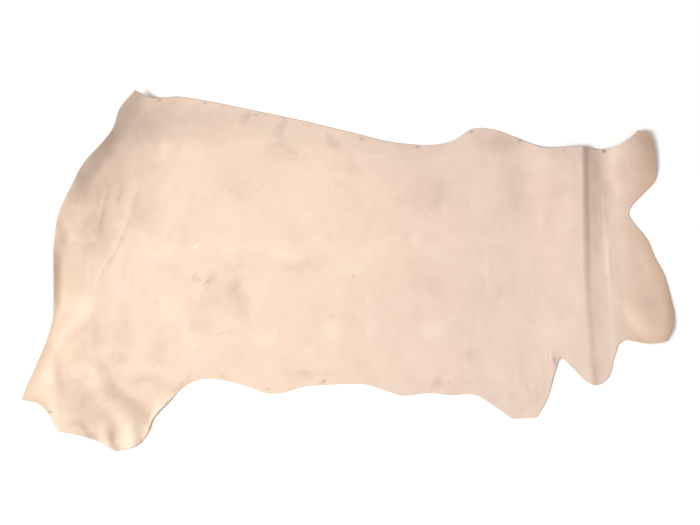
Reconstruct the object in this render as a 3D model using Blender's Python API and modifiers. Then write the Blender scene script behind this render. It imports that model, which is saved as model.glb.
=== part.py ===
"""Leather hide: one side of a vegetable-tanned cowhide, cut along the backbone and lying flesh side down.

Run with: blender --background --python part.py
Metres, +Z up. +X runs towards the neck and +Y towards the back. The origin is on the surface that the
hide lies on, under the middle of its outline. The hide is one cut sheet, so it is one solid.
"""

from typing import NamedTuple

import bmesh
import bpy
import numpy as np

HIDE_THICKNESS = 0.0024  # six-ounce leather
EDGE_STEP = 0.048  # spacing of the grid along the plain stretches of the cut edge
SHANK_STEP = 0.024  # closer over the rippled hind shank
CREASE_STEP = 0.012  # closest across the steep side of the neck crease
ROW_STEP = 0.030  # spacing of the grid from belly to back
RUMP_FADE, NECK_FADE = 4, 9  # how fast the bends of the two ends die away inwards
SIDE_FADE = 2  # how fast those of the belly and back edges do
SHANK_END = -0.50  # the hind shank lies towards the tail from here
CREASE_ZONE = (0.79, 0.97)  # the stretch that the neck crease and the roll beside it take
LIFT_OFF = 0.0012  # how gently the sheet leaves the floor at the foot of a fold
SHARP_EDGE = np.radians(40)
LEATHER_COLOUR = (0.76, 0.60, 0.47, 1.0)
LEATHER_ROUGHNESS = 0.62


class Mark(NamedTuple):
    """A place on the cut edge. At a corner the knife turned sharply; elsewhere the edge runs smoothly through."""

    x: float
    y: float
    corner: bool = False


class Crest(NamedTuple):
    """A place on the crest of a fold, and how high the crest stands there."""

    x: float
    y: float
    height: float


class Fold(NamedTuple):
    """A ridge. Its crest runs from the belly towards the back, and it falls away over its two widths.

    left is the width to the left of that way of travel, which is mostly the tail's side, and right the
    other one. The left foot is soft. right_foot is 2 for a soft foot and 1 for one that meets the floor
    crisply, as where an arched flap stands on its own cut edge.
    """

    left: float
    right: float
    right_foot: int
    crests: list


# The four sides of the outline. Each runs from the tail towards the neck, or from the belly to the back.
BACK_EDGE = [
    Mark(-0.751, 0.639, corner=True),  # root of the tail
    Mark(-0.683, 0.613),
    Mark(-0.605, 0.619),
    Mark(-0.499, 0.604),
    Mark(-0.328, 0.569),
    Mark(-0.162, 0.534),
    Mark(0.023, 0.490),
    Mark(0.158, 0.458),
    Mark(0.300, 0.448),
    Mark(0.375, 0.464),
    Mark(0.442, 0.505),  # withers
    Mark(0.513, 0.503),
    Mark(0.605, 0.472),
    Mark(0.696, 0.438),
    Mark(0.832, 0.441),
    Mark(0.873, 0.432),  # end of the neck crease
    Mark(0.935, 0.438),
    Mark(0.989, 0.464),
    Mark(1.028, 0.499, corner=True),
    Mark(1.065, 0.493, corner=True),  # poll
]
BELLY_EDGE = [
    Mark(-1.157, -0.457, corner=True),  # hock
    Mark(-1.099, -0.472),
    Mark(-1.070, -0.498),
    Mark(-1.026, -0.569, corner=True),
    Mark(-0.957, -0.582),
    Mark(-0.875, -0.611),
    Mark(-0.824, -0.639, corner=True),  # lowest point of the hind shank
    Mark(-0.776, -0.632),
    Mark(-0.724, -0.598),
    Mark(-0.706, -0.568),
    Mark(-0.687, -0.520),
    Mark(-0.637, -0.467),
    Mark(-0.580, -0.410),
    Mark(-0.534, -0.387),  # flank
    Mark(-0.477, -0.383),
    Mark(-0.364, -0.407),
    Mark(-0.281, -0.435),
    Mark(-0.215, -0.428),
    Mark(-0.162, -0.412),
    Mark(-0.051, -0.403),
    Mark(0.066, -0.403),  # middle of the belly
    Mark(0.133, -0.424),
    Mark(0.193, -0.442),
    Mark(0.296, -0.433),
    Mark(0.367, -0.441),
    Mark(0.449, -0.438),
    Mark(0.526, -0.483),
    Mark(0.585, -0.525, corner=True),  # end of the fore shank
    Mark(0.671, -0.520, corner=True),
    Mark(0.708, -0.456),
    Mark(0.737, -0.355),
    Mark(0.757, -0.310),  # notch behind the brisket
    Mark(0.802, -0.347),
    Mark(0.847, -0.390),
    Mark(0.884, -0.406),  # brisket
    Mark(0.924, -0.382),
    Mark(0.946, -0.316),
    Mark(0.963, -0.260),
    Mark(0.982, -0.247),
    Mark(1.074, -0.258),
    Mark(1.125, -0.252, corner=True),
    Mark(1.154, -0.202),  # jaw
]
RUMP_EDGE = [
    Mark(-1.157, -0.457, corner=True),  # hock
    Mark(-1.147, -0.426),
    Mark(-1.116, -0.355),
    Mark(-1.070, -0.248),
    Mark(-1.048, -0.167),
    Mark(-1.042, -0.014),
    Mark(-1.041, 0.092),
    Mark(-1.020, 0.207),
    Mark(-0.977, 0.297),
    Mark(-0.932, 0.380),
    Mark(-0.872, 0.447),
    Mark(-0.829, 0.504),
    Mark(-0.804, 0.572),
    Mark(-0.751, 0.639, corner=True),  # root of the tail
]
NECK_EDGE = [
    Mark(1.154, -0.202),  # jaw
    Mark(1.159, -0.163),
    Mark(1.140, -0.071),
    Mark(1.120, -0.008),
    Mark(1.092, 0.046),
    Mark(1.066, 0.109),
    Mark(1.014, 0.174),
    Mark(0.999, 0.202),  # ear notch
    Mark(1.006, 0.227),
    Mark(1.044, 0.268),
    Mark(1.089, 0.321),
    Mark(1.095, 0.369),
    Mark(1.083, 0.454),
    Mark(1.065, 0.493, corner=True),  # poll
]

SOFT, CRISP = 2, 1
FOLDS = {
    # The crease that folding over a rail has set across the neck: gentle behind, steep in front.
    "neck_crease": Fold(0.260, 0.027, SOFT, [
        Crest(0.868, -0.430, 0.0030),
        Crest(0.854, -0.245, 0.0038),
        Crest(0.840, -0.103, 0.0044),
        Crest(0.836, 0.110, 0.0056),
        Crest(0.832, 0.252, 0.0070),
        Crest(0.829, 0.483, 0.0078),
    ]),
    # The slope that goes on past its foot.
    "neck_slope": Fold(0.200, 0.100, SOFT, [
        Crest(0.868, -0.430, 0.0010),
        Crest(0.847, -0.103, 0.0030),
        Crest(0.836, 0.110, 0.0075),
        Crest(0.832, 0.252, 0.0110),
        Crest(0.829, 0.483, 0.0140),
    ]),
    # The roll beside it.
    "neck_roll": Fold(0.030, 0.036, SOFT, [
        Crest(0.957, -0.280, 0.0018),
        Crest(0.953, -0.103, 0.0018),
        Crest(0.928, 0.110, 0.0018),
        Crest(0.914, 0.252, 0.0012),
        Crest(0.911, 0.465, 0.0005),
    ]),
    # The jaw flap and the poll flap arch off the floor and stand on their outer edges.
    "jaw_arch": Fold(0.170, 0.040, CRISP, [
        Crest(1.132, -0.260, 0.0060),
        Crest(1.126, -0.150, 0.0090),
        Crest(1.102, -0.020, 0.0045),
        Crest(1.060, 0.080, 0.0000),
    ]),
    "poll_arch": Fold(0.110, 0.140, CRISP, [
        Crest(1.045, 0.262, 0.0000),
        Crest(1.012, 0.330, 0.0120),
        Crest(1.000, 0.400, 0.0180),
        Crest(0.996, 0.540, 0.0200),
    ]),
    "jaw_diagonal": Fold(0.060, 0.120, SOFT, [
        Crest(1.109, -0.231, 0.0070),
        Crest(1.038, -0.146, 0.0060),
        Crest(0.975, -0.075, 0.0000),
    ]),
    # The rump curls up, gently at first and steeply at its cut edge. These crests lie beyond the edge.
    "rump_curl": Fold(0.100, 0.310, SOFT, [
        Crest(-1.150, -0.140, 0.0000),
        Crest(-1.145, 0.000, 0.0120),
        Crest(-1.135, 0.140, 0.0240),
        Crest(-1.100, 0.280, 0.0360),
        Crest(-1.040, 0.400, 0.0400),
        Crest(-0.965, 0.510, 0.0380),
        Crest(-0.900, 0.600, 0.0340),
        Crest(-0.830, 0.740, 0.0320),
    ]),
    "rump_steepening": Fold(0.100, 0.140, SOFT, [
        Crest(-1.110, 0.100, 0.0000),
        Crest(-1.090, 0.210, 0.0100),
        Crest(-1.050, 0.310, 0.0220),
        Crest(-1.000, 0.420, 0.0320),
        Crest(-0.935, 0.495, 0.0360),
        Crest(-0.875, 0.590, 0.0380),
        Crest(-0.810, 0.710, 0.0380),
    ]),
    "rump_lip": Fold(0.030, 0.056, SOFT, [
        Crest(-1.070, -0.170, 0.0000),
        Crest(-1.068, -0.100, 0.0150),
        Crest(-1.066, 0.000, 0.0200),
        Crest(-1.064, 0.060, 0.0140),
        Crest(-1.060, 0.110, 0.0000),
    ]),
    # The flank beside it.
    "flank_swell": Fold(0.120, 0.090, SOFT, [
        Crest(-0.940, -0.300, 0.0000),
        Crest(-0.918, -0.200, 0.0050),
        Crest(-0.908, -0.100, 0.0050),
        Crest(-0.908, 0.050, 0.0030),
        Crest(-0.912, 0.160, 0.0000),
    ]),
    "hock_ridge": Fold(0.055, 0.045, SOFT, [
        Crest(-1.056, -0.280, 0.0000),
        Crest(-1.010, -0.238, 0.0040),
        Crest(-0.957, -0.188, 0.0045),
        Crest(-0.893, -0.114, 0.0000),
    ]),
    # The ripples that fan out over the hind shank.
    "shank_diagonal": Fold(0.055, 0.062, SOFT, [
        Crest(-0.737, -0.572, 0.0040),
        Crest(-0.751, -0.543, 0.0095),
        Crest(-0.783, -0.508, 0.0110),
        Crest(-0.815, -0.476, 0.0105),
        Crest(-0.850, -0.447, 0.0095),
        Crest(-0.875, -0.408, 0.0085),
        Crest(-0.903, -0.355, 0.0065),
        Crest(-0.950, -0.344, 0.0050),
        Crest(-1.014, -0.309, 0.0000),
    ]),
    "inner_corner": Fold(0.035, 0.040, SOFT, [
        Crest(-0.690, -0.560, 0.0040),
        Crest(-0.665, -0.515, 0.0120),
        Crest(-0.630, -0.480, 0.0095),
        Crest(-0.590, -0.440, 0.0000),
    ]),
    "shank_ripple": Fold(0.034, 0.032, SOFT, [
        Crest(-0.834, -0.645, 0.0085),
        Crest(-0.854, -0.600, 0.0075),
        Crest(-0.861, -0.547, 0.0045),
        Crest(-0.866, -0.490, 0.0000),
    ]),
    "shank_heel": Fold(0.048, 0.038, SOFT, [
        Crest(-0.748, -0.645, 0.0105),
        Crest(-0.758, -0.607, 0.0090),
        Crest(-0.769, -0.564, 0.0055),
        Crest(-0.779, -0.515, 0.0000),
    ]),
    "shank_hem_curl": Fold(0.050, 0.110, SOFT, [
        Crest(-1.005, -0.600, 0.0150),
        Crest(-1.014, -0.545, 0.0115),
        Crest(-1.024, -0.490, 0.0065),
        Crest(-1.030, -0.440, 0.0000),
    ]),
    "shank_hollow": Fold(0.055, 0.036, SOFT, [
        Crest(-1.024, -0.470, 0.0000),
        Crest(-1.034, -0.422, 0.0035),
        Crest(-1.042, -0.369, 0.0045),
        Crest(-1.052, -0.318, 0.0033),
        Crest(-1.060, -0.285, 0.0000),
    ]),
}


def step_at(x):
    """The wanted spacing of the grid along the belly edge at x."""
    if x < SHANK_END:
        return SHANK_STEP
    if CREASE_ZONE[0] < x < CREASE_ZONE[1]:
        return CREASE_STEP
    return EDGE_STEP


def edge_curve(marks, step_of):
    """Points along a side: a cubic Hermite curve through the marks, whose slope breaks only at corners.

    Between two marks the points lie about step_of(x) apart, and every mark is one of them.
    """
    places = np.array([(mark.x, mark.y) for mark in marks])
    spans = np.diff(places, axis=0)
    times = np.sqrt(np.linalg.norm(spans, axis=1))
    rates = spans / times[:, None]
    smooth = (rates[:-1] * times[1:, None] + rates[1:] * times[:-1, None]) / (times[:-1] + times[1:])[:, None]
    leaving = np.vstack([rates[:1], smooth])
    arriving = np.vstack([smooth, rates[-1:]])
    points = [places[:1]]
    for i, time in enumerate(times):
        start = rates[i] if marks[i].corner else leaving[i]
        end = rates[i] if marks[i + 1].corner else arriving[i]
        length = np.linalg.norm(spans[i])
        count = max(1, round(length / step_of(places[i, 0] + spans[i, 0] / 2)))
        t = (np.arange(count) + 1)[:, None] / count
        points.append(
            (2 * t**3 - 3 * t**2 + 1) * places[i]
            + (t**3 - 2 * t**2 + t) * start * time
            + (3 * t**2 - 2 * t**3) * places[i + 1]
            + (t**3 - t**2) * end * time
        )
    return np.vstack(points)


def facing_points(edge, marks, axis):
    """The points of the facing side at the same shares of its reach along axis as the given side's points."""
    dense = edge_curve(marks, lambda x: 0.002)
    share = (edge[:, axis] - edge[0, axis]) / (edge[-1, axis] - edge[0, axis])
    reach = dense[0, axis] + share * (dense[-1, axis] - dense[0, axis])
    other = np.interp(reach, dense[:, axis], dense[:, 1 - axis])
    return np.column_stack([reach, other] if axis == 0 else [other, reach])


def bend(edge, axis):
    """How far each point of a side stands off the straight line between its ends, measured across axis."""
    share = (edge[:, axis] - edge[0, axis]) / (edge[-1, axis] - edge[0, axis])
    across = edge[:, 1 - axis]
    return share, across - across[0] - share * (across[-1] - across[0])


def sheet_places():
    """The grid of places on the floor, as an array of columns by rows.

    It is the straight-sided figure between the four corners, plus the bends of its four sides, each of
    which dies away with the distance from its own side.
    """
    belly = edge_curve(BELLY_EDGE, step_at)
    back = facing_points(belly, BACK_EDGE, axis=0)
    neck = edge_curve(NECK_EDGE, lambda x: ROW_STEP)
    rump = facing_points(neck, RUMP_EDGE, axis=1)
    u, belly_bend = bend(belly, 0)
    v, neck_bend = bend(neck, 1)
    back_bend = bend(back, 0)[1]
    rump_bend = bend(rump, 1)[1]
    u = u[:, None]
    x = (1 - v) * belly[:, :1] + v * back[:, :1] + (1 - u) ** RUMP_FADE * rump_bend + u**NECK_FADE * neck_bend
    y = (1 - u) * rump[:, 1] + u * neck[:, 1]
    y += (1 - v) ** SIDE_FADE * belly_bend[:, None] + v**SIDE_FADE * back_bend[:, None]
    return np.stack([x, y], axis=-1)


def fold_height(fold, places):
    """Height that one fold adds at each place: its crest's height times (1 - s squared) to the power of its foot.

    s is the distance to the crest line over the fold's width on that side.
    """
    nearest = np.full(places.shape[:-1], np.inf)
    height = np.zeros(places.shape[:-1])
    for start, end in zip(fold.crests, fold.crests[1:]):
        origin = np.array((start.x, start.y))
        run = np.array((end.x, end.y)) - origin
        offset = places - origin
        along = np.clip(offset @ run / (run @ run), 0, 1)
        distance = np.linalg.norm(offset - along[..., None] * run, axis=-1)
        on_left = run[0] * offset[..., 1] - run[1] * offset[..., 0] > 0
        share = np.minimum(distance / np.where(on_left, fold.left, fold.right), 1)
        foot = np.where(on_left, SOFT, fold.right_foot)
        crest = start.height + along * (end.height - start.height)
        closer = distance < nearest
        height = np.where(closer, crest * (1 - share**2) ** foot, height)
        nearest = np.minimum(nearest, distance)
    return height


def sheet_heights(places):
    """Height of the flesh side above the floor: the sum of the folds, easing off the floor at their feet."""
    total = sum(fold_height(fold, places) for fold in FOLDS.values())
    return total**2 / (total + LIFT_OFF)


def leather():
    """Pale natural leather."""
    material = bpy.data.materials.new("natural_leather")
    material.use_nodes = True
    shader = material.node_tree.nodes["Principled BSDF"]
    shader.inputs["Base Color"].default_value = LEATHER_COLOUR
    shader.inputs["Roughness"].default_value = LEATHER_ROUGHNESS
    shader.inputs["Metallic"].default_value = 0.0
    return material


def build_hide(collection):
    """The hide: a flat grid moved onto the outline and the folds, and thickened upwards into one solid."""
    places = sheet_places()
    heights = sheet_heights(places)
    columns, rows = heights.shape[0] - 1, heights.shape[1] - 1
    grid = bmesh.new()
    bmesh.ops.create_grid(grid, x_segments=columns, y_segments=rows, size=0.5)
    for vertex in grid.verts:
        i = round((vertex.co.x + 0.5) * columns)
        j = round((vertex.co.y + 0.5) * rows)
        vertex.co = (*places[i, j], heights[i, j])
    mesh = bpy.data.meshes.new("hide")
    grid.to_mesh(mesh)
    grid.free()
    mesh.shade_smooth()
    mesh.set_sharp_from_angle(angle=SHARP_EDGE)
    mesh.materials.append(leather())
    hide = bpy.data.objects.new("hide", mesh)
    collection.objects.link(hide)
    thickness = hide.modifiers.new("thickness", "SOLIDIFY")
    thickness.thickness = HIDE_THICKNESS
    thickness.offset = 1.0
    return hide


def main():
    for obj in list(bpy.data.objects):
        bpy.data.objects.remove(obj, do_unlink=True)
    collection = bpy.data.collections.new("leather_hide")
    bpy.context.scene.collection.children.link(collection)
    build_hide(collection)


main()
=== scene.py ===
"""Leather hide: one side of a vegetable-tanned cowhide, lying flesh side down.

Metres, +Z up. +X runs towards the neck and +Y towards the back. The hide is one closed sheet: its outline
carries a grid, the folds lift the grid off the floor, and the grain side, the cut and the flesh side each
have a material of their own.
"""

from functools import partial
from typing import NamedTuple

import bpy
import numpy as np
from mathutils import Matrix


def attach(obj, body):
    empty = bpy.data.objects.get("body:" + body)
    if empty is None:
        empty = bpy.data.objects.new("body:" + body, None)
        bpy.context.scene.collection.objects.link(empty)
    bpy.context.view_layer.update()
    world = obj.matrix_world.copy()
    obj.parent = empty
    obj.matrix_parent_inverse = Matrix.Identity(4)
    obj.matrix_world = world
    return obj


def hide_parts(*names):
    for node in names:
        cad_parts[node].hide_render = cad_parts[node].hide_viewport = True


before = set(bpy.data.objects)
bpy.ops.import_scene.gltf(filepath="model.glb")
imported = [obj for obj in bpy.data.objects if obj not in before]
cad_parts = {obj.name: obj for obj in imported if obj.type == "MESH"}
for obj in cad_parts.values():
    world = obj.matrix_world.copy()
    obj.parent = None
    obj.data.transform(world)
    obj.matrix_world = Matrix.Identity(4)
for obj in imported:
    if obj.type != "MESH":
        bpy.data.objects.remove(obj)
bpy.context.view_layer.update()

THICKNESS = 0.0024
GRID_STEP = 0.0080  # spacing of the grid's columns along the belly edge
ROW_STEP = 0.0053  # spacing of its rows along the neck edge
RUMP_FADE, NECK_FADE = 4, 9  # how fast the bends of the two ends die away inwards
SIDE_FADE = 2  # how fast those of the belly and back edges do
LIFT_OFF = 0.0012  # how gently the sheet leaves the floor at the foot of a fold
# The cut from the grain side down: how far in from the outline, and at what share of the thickness.
CUT_PROFILE = [(0.00030, 0.92), (0.0, 0.70), (0.0, 0.25), (0.00025, 0.05)]
GRAIN_INSET = 0.0012  # where the grain side starts to round over into the cut
FLESH_INSET = 0.0006  # where the flesh side does
FINE_STEP = 0.002  # spacing of the points that a facing side is read from
SLICES = 64  # how many parts the measuring to the edge is done in
GRAIN_SLOT, CUT_SLOT, FLESH_SLOT = 0, 1, 2

SOFT, CRISP = 2, 1  # the two kinds of foot of a fold


class Mark(NamedTuple):
    """A place on the cut edge. At a corner the knife turned sharply; elsewhere the edge is smooth."""

    x: float
    y: float
    corner: bool = False


class Fold(NamedTuple):
    """A ridge. crests holds (x, y, height) along its crest, or (x, y, darkness) in a band of tone.

    left is its width to the left of the way its crest runs, and right the other one. Its left foot is
    soft. right_foot is SOFT too, or CRISP where that side meets the floor crisply.
    """

    left: float
    right: float
    right_foot: int
    crests: list


class Patch(NamedTuple):
    """A soft-edged oval on the grain side, as strong as its strength in the middle and fading to its rim.

    length and width are half its size each way. turn is the angle from +X to its length, in degrees.
    """

    x: float
    y: float
    length: float
    width: float
    turn: float
    strength: float


# The four sides of the outline. Each runs from the tail towards the neck, or from the belly to the back.
BACK_EDGE = [
    Mark(-0.751, 0.639, corner=True),  # root of the tail
    Mark(-0.683, 0.613),
    Mark(-0.605, 0.619),
    Mark(-0.499, 0.604),
    Mark(-0.328, 0.569),
    Mark(-0.162, 0.534),
    Mark(0.023, 0.490),
    Mark(0.158, 0.458),
    Mark(0.300, 0.448),
    Mark(0.375, 0.464),
    Mark(0.442, 0.505),  # withers
    Mark(0.513, 0.503),
    Mark(0.605, 0.472),
    Mark(0.696, 0.438),
    Mark(0.832, 0.441),
    Mark(0.873, 0.432),  # end of the neck crease
    Mark(0.935, 0.438),
    Mark(0.989, 0.464),
    Mark(1.028, 0.499, corner=True),
    Mark(1.065, 0.493, corner=True),  # poll
]
BELLY_EDGE = [
    Mark(-1.157, -0.457, corner=True),  # hock
    Mark(-1.099, -0.472),
    Mark(-1.070, -0.498),
    Mark(-1.026, -0.569, corner=True),
    Mark(-0.957, -0.582),
    Mark(-0.875, -0.611),
    Mark(-0.824, -0.639, corner=True),  # lowest point of the hind shank
    Mark(-0.776, -0.632),
    Mark(-0.724, -0.598),
    Mark(-0.706, -0.568),
    Mark(-0.687, -0.520),
    Mark(-0.637, -0.467),
    Mark(-0.580, -0.410),
    Mark(-0.534, -0.387),  # flank
    Mark(-0.477, -0.383),
    Mark(-0.364, -0.407),
    Mark(-0.281, -0.435),
    Mark(-0.215, -0.428),
    Mark(-0.162, -0.412),
    Mark(-0.051, -0.403),
    Mark(0.066, -0.403),  # middle of the belly
    Mark(0.133, -0.424),
    Mark(0.193, -0.442),
    Mark(0.296, -0.433),
    Mark(0.367, -0.441),
    Mark(0.449, -0.438),
    Mark(0.526, -0.483),
    Mark(0.585, -0.525, corner=True),  # end of the fore shank
    Mark(0.671, -0.520, corner=True),
    Mark(0.708, -0.456),
    Mark(0.737, -0.355),
    Mark(0.757, -0.310),  # notch behind the brisket
    Mark(0.802, -0.347),
    Mark(0.847, -0.390),
    Mark(0.884, -0.406),  # brisket
    Mark(0.924, -0.382),
    Mark(0.946, -0.316),
    Mark(0.963, -0.260),
    Mark(0.982, -0.247),
    Mark(1.074, -0.258),
    Mark(1.125, -0.252, corner=True),
    Mark(1.154, -0.202),  # jaw
]
RUMP_EDGE = [
    Mark(-1.157, -0.457, corner=True),  # hock
    Mark(-1.147, -0.426),
    Mark(-1.116, -0.355),
    Mark(-1.070, -0.248),
    Mark(-1.048, -0.167),
    Mark(-1.042, -0.014),
    Mark(-1.041, 0.092),
    Mark(-1.020, 0.207),
    Mark(-0.977, 0.297),
    Mark(-0.932, 0.380),
    Mark(-0.872, 0.447),
    Mark(-0.829, 0.504),
    Mark(-0.804, 0.572),
    Mark(-0.751, 0.639, corner=True),  # root of the tail
]
NECK_EDGE = [
    Mark(1.154, -0.202),  # jaw
    Mark(1.159, -0.163),
    Mark(1.140, -0.071),
    Mark(1.120, -0.008),
    Mark(1.092, 0.046),
    Mark(1.066, 0.109),
    Mark(1.014, 0.174),
    Mark(0.999, 0.202),  # ear notch
    Mark(1.006, 0.227),
    Mark(1.044, 0.268),
    Mark(1.089, 0.321),
    Mark(1.095, 0.369),
    Mark(1.083, 0.454),
    Mark(1.065, 0.493, corner=True),  # poll
]

# Folds that lift the whole sheet off the floor.
FOLDS = [
    # The crease that folding over a rail has set across the neck: gentle behind, steep in front.
    Fold(0.260, 0.027, SOFT, [(0.868, -0.430, 0.0030), (0.854, -0.245, 0.0038), (0.840, -0.103, 0.0044),
                              (0.836, 0.110, 0.0056), (0.832, 0.252, 0.0070), (0.829, 0.483, 0.0078)]),
    # The slope that goes on past the foot of the crease.
    Fold(0.200, 0.100, SOFT, [(0.868, -0.430, 0.0010), (0.847, -0.103, 0.0030), (0.836, 0.110, 0.0075),
                              (0.832, 0.252, 0.0110), (0.829, 0.483, 0.0140)]),
    # The low roll beside the crease.
    Fold(0.030, 0.036, SOFT, [(0.957, -0.280, 0.0018), (0.953, -0.103, 0.0018), (0.928, 0.110, 0.0018),
                              (0.914, 0.252, 0.0012), (0.911, 0.465, 0.0005)]),
    # The jaw flap and the poll flap arch off the floor and stand on their outer edges. A third fold runs
    # across the corner of the jaw.
    Fold(0.170, 0.040, CRISP, [(1.132, -0.260, 0.0060), (1.126, -0.150, 0.0090),
                               (1.102, -0.020, 0.0045), (1.060, 0.080, 0.0000)]),
    Fold(0.110, 0.140, CRISP, [(1.045, 0.262, 0.0000), (1.012, 0.330, 0.0120), (1.000, 0.400, 0.0180),
                               (0.996, 0.540, 0.0200)]),
    Fold(0.060, 0.120, SOFT, [(1.109, -0.231, 0.0070), (1.038, -0.146, 0.0060),
                              (0.975, -0.075, 0.0000)]),
    # The rump curls up, gently at first and steeply at its cut edge. These crests lie beyond the edge.
    Fold(0.100, 0.310, SOFT, [(-1.150, -0.140, 0.000), (-1.145, 0.000, 0.012), (-1.135, 0.140, 0.024),
                              (-1.100, 0.280, 0.036), (-1.040, 0.400, 0.040), (-0.965, 0.510, 0.038),
                              (-0.900, 0.600, 0.034), (-0.830, 0.740, 0.032)]),
    Fold(0.100, 0.140, SOFT, [(-1.110, 0.100, 0.000), (-1.090, 0.210, 0.010), (-1.050, 0.310, 0.022),
                              (-1.000, 0.420, 0.032), (-0.935, 0.495, 0.036), (-0.875, 0.590, 0.038),
                              (-0.810, 0.710, 0.038)]),
    Fold(0.030, 0.056, SOFT, [(-1.070, -0.170, 0.000), (-1.068, -0.100, 0.015), (-1.066, 0.000, 0.020),
                              (-1.064, 0.060, 0.014), (-1.060, 0.110, 0.000)]),
    # The swell of the flank beside the rump, and the ridge at the hock.
    Fold(0.120, 0.090, SOFT, [(-0.940, -0.300, 0.000), (-0.918, -0.200, 0.005), (-0.908, -0.100, 0.005),
                              (-0.908, 0.050, 0.003), (-0.912, 0.160, 0.000)]),
    Fold(0.055, 0.045, SOFT, [(-1.056, -0.280, 0.0000), (-1.010, -0.238, 0.0040),
                              (-0.957, -0.188, 0.0045), (-0.893, -0.114, 0.0000)]),
    # The ripples that fan out over the hind shank.
    Fold(0.055, 0.062, SOFT, [(-0.737, -0.572, 0.0040), (-0.751, -0.543, 0.0095),
                              (-0.783, -0.508, 0.0110), (-0.815, -0.476, 0.0105),
                              (-0.850, -0.447, 0.0095), (-0.875, -0.408, 0.0085),
                              (-0.903, -0.355, 0.0065), (-0.950, -0.344, 0.0050),
                              (-1.014, -0.309, 0.0000)]),
    Fold(0.035, 0.040, SOFT, [(-0.690, -0.560, 0.0040), (-0.665, -0.515, 0.0120),
                              (-0.630, -0.480, 0.0095), (-0.590, -0.440, 0.0000)]),
    Fold(0.034, 0.032, SOFT, [(-0.834, -0.645, 0.0085), (-0.854, -0.600, 0.0075),
                              (-0.861, -0.547, 0.0045), (-0.866, -0.490, 0.0000)]),
    Fold(0.048, 0.038, SOFT, [(-0.748, -0.645, 0.0105), (-0.758, -0.607, 0.0090),
                              (-0.769, -0.564, 0.0055), (-0.779, -0.515, 0.0000)]),
    Fold(0.050, 0.110, SOFT, [(-1.005, -0.600, 0.0150), (-1.014, -0.545, 0.0115),
                              (-1.024, -0.490, 0.0065), (-1.030, -0.440, 0.0000)]),
    Fold(0.055, 0.036, SOFT, [(-1.024, -0.470, 0.0000), (-1.034, -0.422, 0.0035),
                              (-1.042, -0.369, 0.0045), (-1.052, -0.318, 0.0033),
                              (-1.060, -0.285, 0.0000)]),
]

# Wrinkles in the grain side only: on the haunch, the fore shank, the back and the neck.
WRINKLES = [
    Fold(0.022, 0.010, SOFT, [(-0.836, 0.050, 0.0), (-0.815, 0.092, 0.0010), (-0.783, 0.149, 0.0016),
                              (-0.765, 0.217, 0.0018), (-0.751, 0.270, 0.0015), (-0.737, 0.316, 0.0)]),
    Fold(0.016, 0.009, SOFT, [(-0.896, -0.075, 0.0), (-0.875, -0.021, 0.0009), (-0.843, 0.039, 0.0010),
                              (-0.822, 0.082, 0.0)]),
    Fold(0.014, 0.010, SOFT, [(-0.893, 0.110, 0.0), (-0.879, 0.174, 0.0012), (-0.861, 0.252, 0.0014),
                              (-0.847, 0.316, 0.0)]),
    Fold(0.012, 0.009, SOFT, [(-0.829, 0.217, 0.0), (-0.815, 0.280, 0.0012), (-0.804, 0.337, 0.0)]),
    Fold(0.013, 0.010, SOFT, [(-0.953, 0.160, 0.0), (-0.943, 0.224, 0.0010), (-0.932, 0.280, 0.0)]),
    Fold(0.013, 0.010, SOFT, [(-0.989, 0.032, 0.0), (-0.974, 0.110, 0.0010), (-0.960, 0.174, 0.0)]),
    Fold(0.012, 0.009, SOFT, [(-0.918, -0.089, 0.0), (-0.914, -0.014, 0.0011), (-0.903, 0.067, 0.0)]),
    Fold(0.012, 0.009, SOFT, [(-0.776, -0.082, 0.0), (-0.772, -0.032, 0.0009), (-0.769, 0.018, 0.0)]),
    Fold(0.012, 0.010, SOFT, [(-0.694, 0.075, 0.0), (-0.680, 0.117, 0.0009), (-0.666, 0.167, 0.0)]),
    Fold(0.018, 0.020, SOFT, [(-1.063, -0.263, 0.0), (-1.028, -0.209, 0.0016), (-1.014, -0.156, 0.0014),
                              (-0.999, -0.099, 0.0)]),
    Fold(0.010, 0.008, SOFT, [(0.602, -0.451, 0.0), (0.609, -0.387, 0.0008), (0.595, -0.323, 0.0)]),
    Fold(0.010, 0.008, SOFT, [(0.655, -0.486, 0.0), (0.634, -0.430, 0.0011), (0.612, -0.373, 0.0009),
                              (0.598, -0.337, 0.0)]),
    Fold(0.009, 0.008, SOFT, [(0.676, -0.451, 0.0), (0.662, -0.394, 0.0010), (0.641, -0.337, 0.0)]),
    Fold(0.009, 0.008, SOFT, [(0.701, -0.405, 0.0), (0.687, -0.359, 0.0008), (0.676, -0.316, 0.0)]),
    Fold(0.009, 0.008, SOFT, [(0.634, -0.501, 0.0), (0.619, -0.458, 0.0007), (0.609, -0.422, 0.0)]),
    Fold(0.010, 0.009, SOFT, [(0.733, -0.341, 0.0), (0.726, -0.302, 0.0010), (0.719, -0.259, 0.0)]),
    Fold(0.009, 0.008, SOFT, [(0.712, -0.337, 0.0), (0.708, -0.295, 0.0008), (0.705, -0.263, 0.0)]),
    Fold(0.010, 0.008, SOFT, [(-0.236, 0.422, 0.0), (-0.183, 0.405, 0.0008), (-0.126, 0.394, 0.0008),
                              (-0.062, 0.387, 0.0)]),
    Fold(0.009, 0.008, SOFT, [(0.051, 0.454, 0.0), (0.016, 0.437, 0.0008), (-0.005, 0.401, 0.0)]),
    Fold(0.015, 0.012, SOFT, [(0.907, 0.323, 0.0), (0.914, 0.199, 0.0007), (0.925, 0.075, 0.0009),
                              (0.935, -0.067, 0.0008), (0.943, -0.209, 0.0)]),
    Fold(0.010, 0.008, SOFT, [(0.886, 0.341, 0.0), (0.889, 0.252, 0.0005), (0.896, 0.128, 0.0005),
                              (0.903, 0.032, 0.0)]),
]

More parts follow.
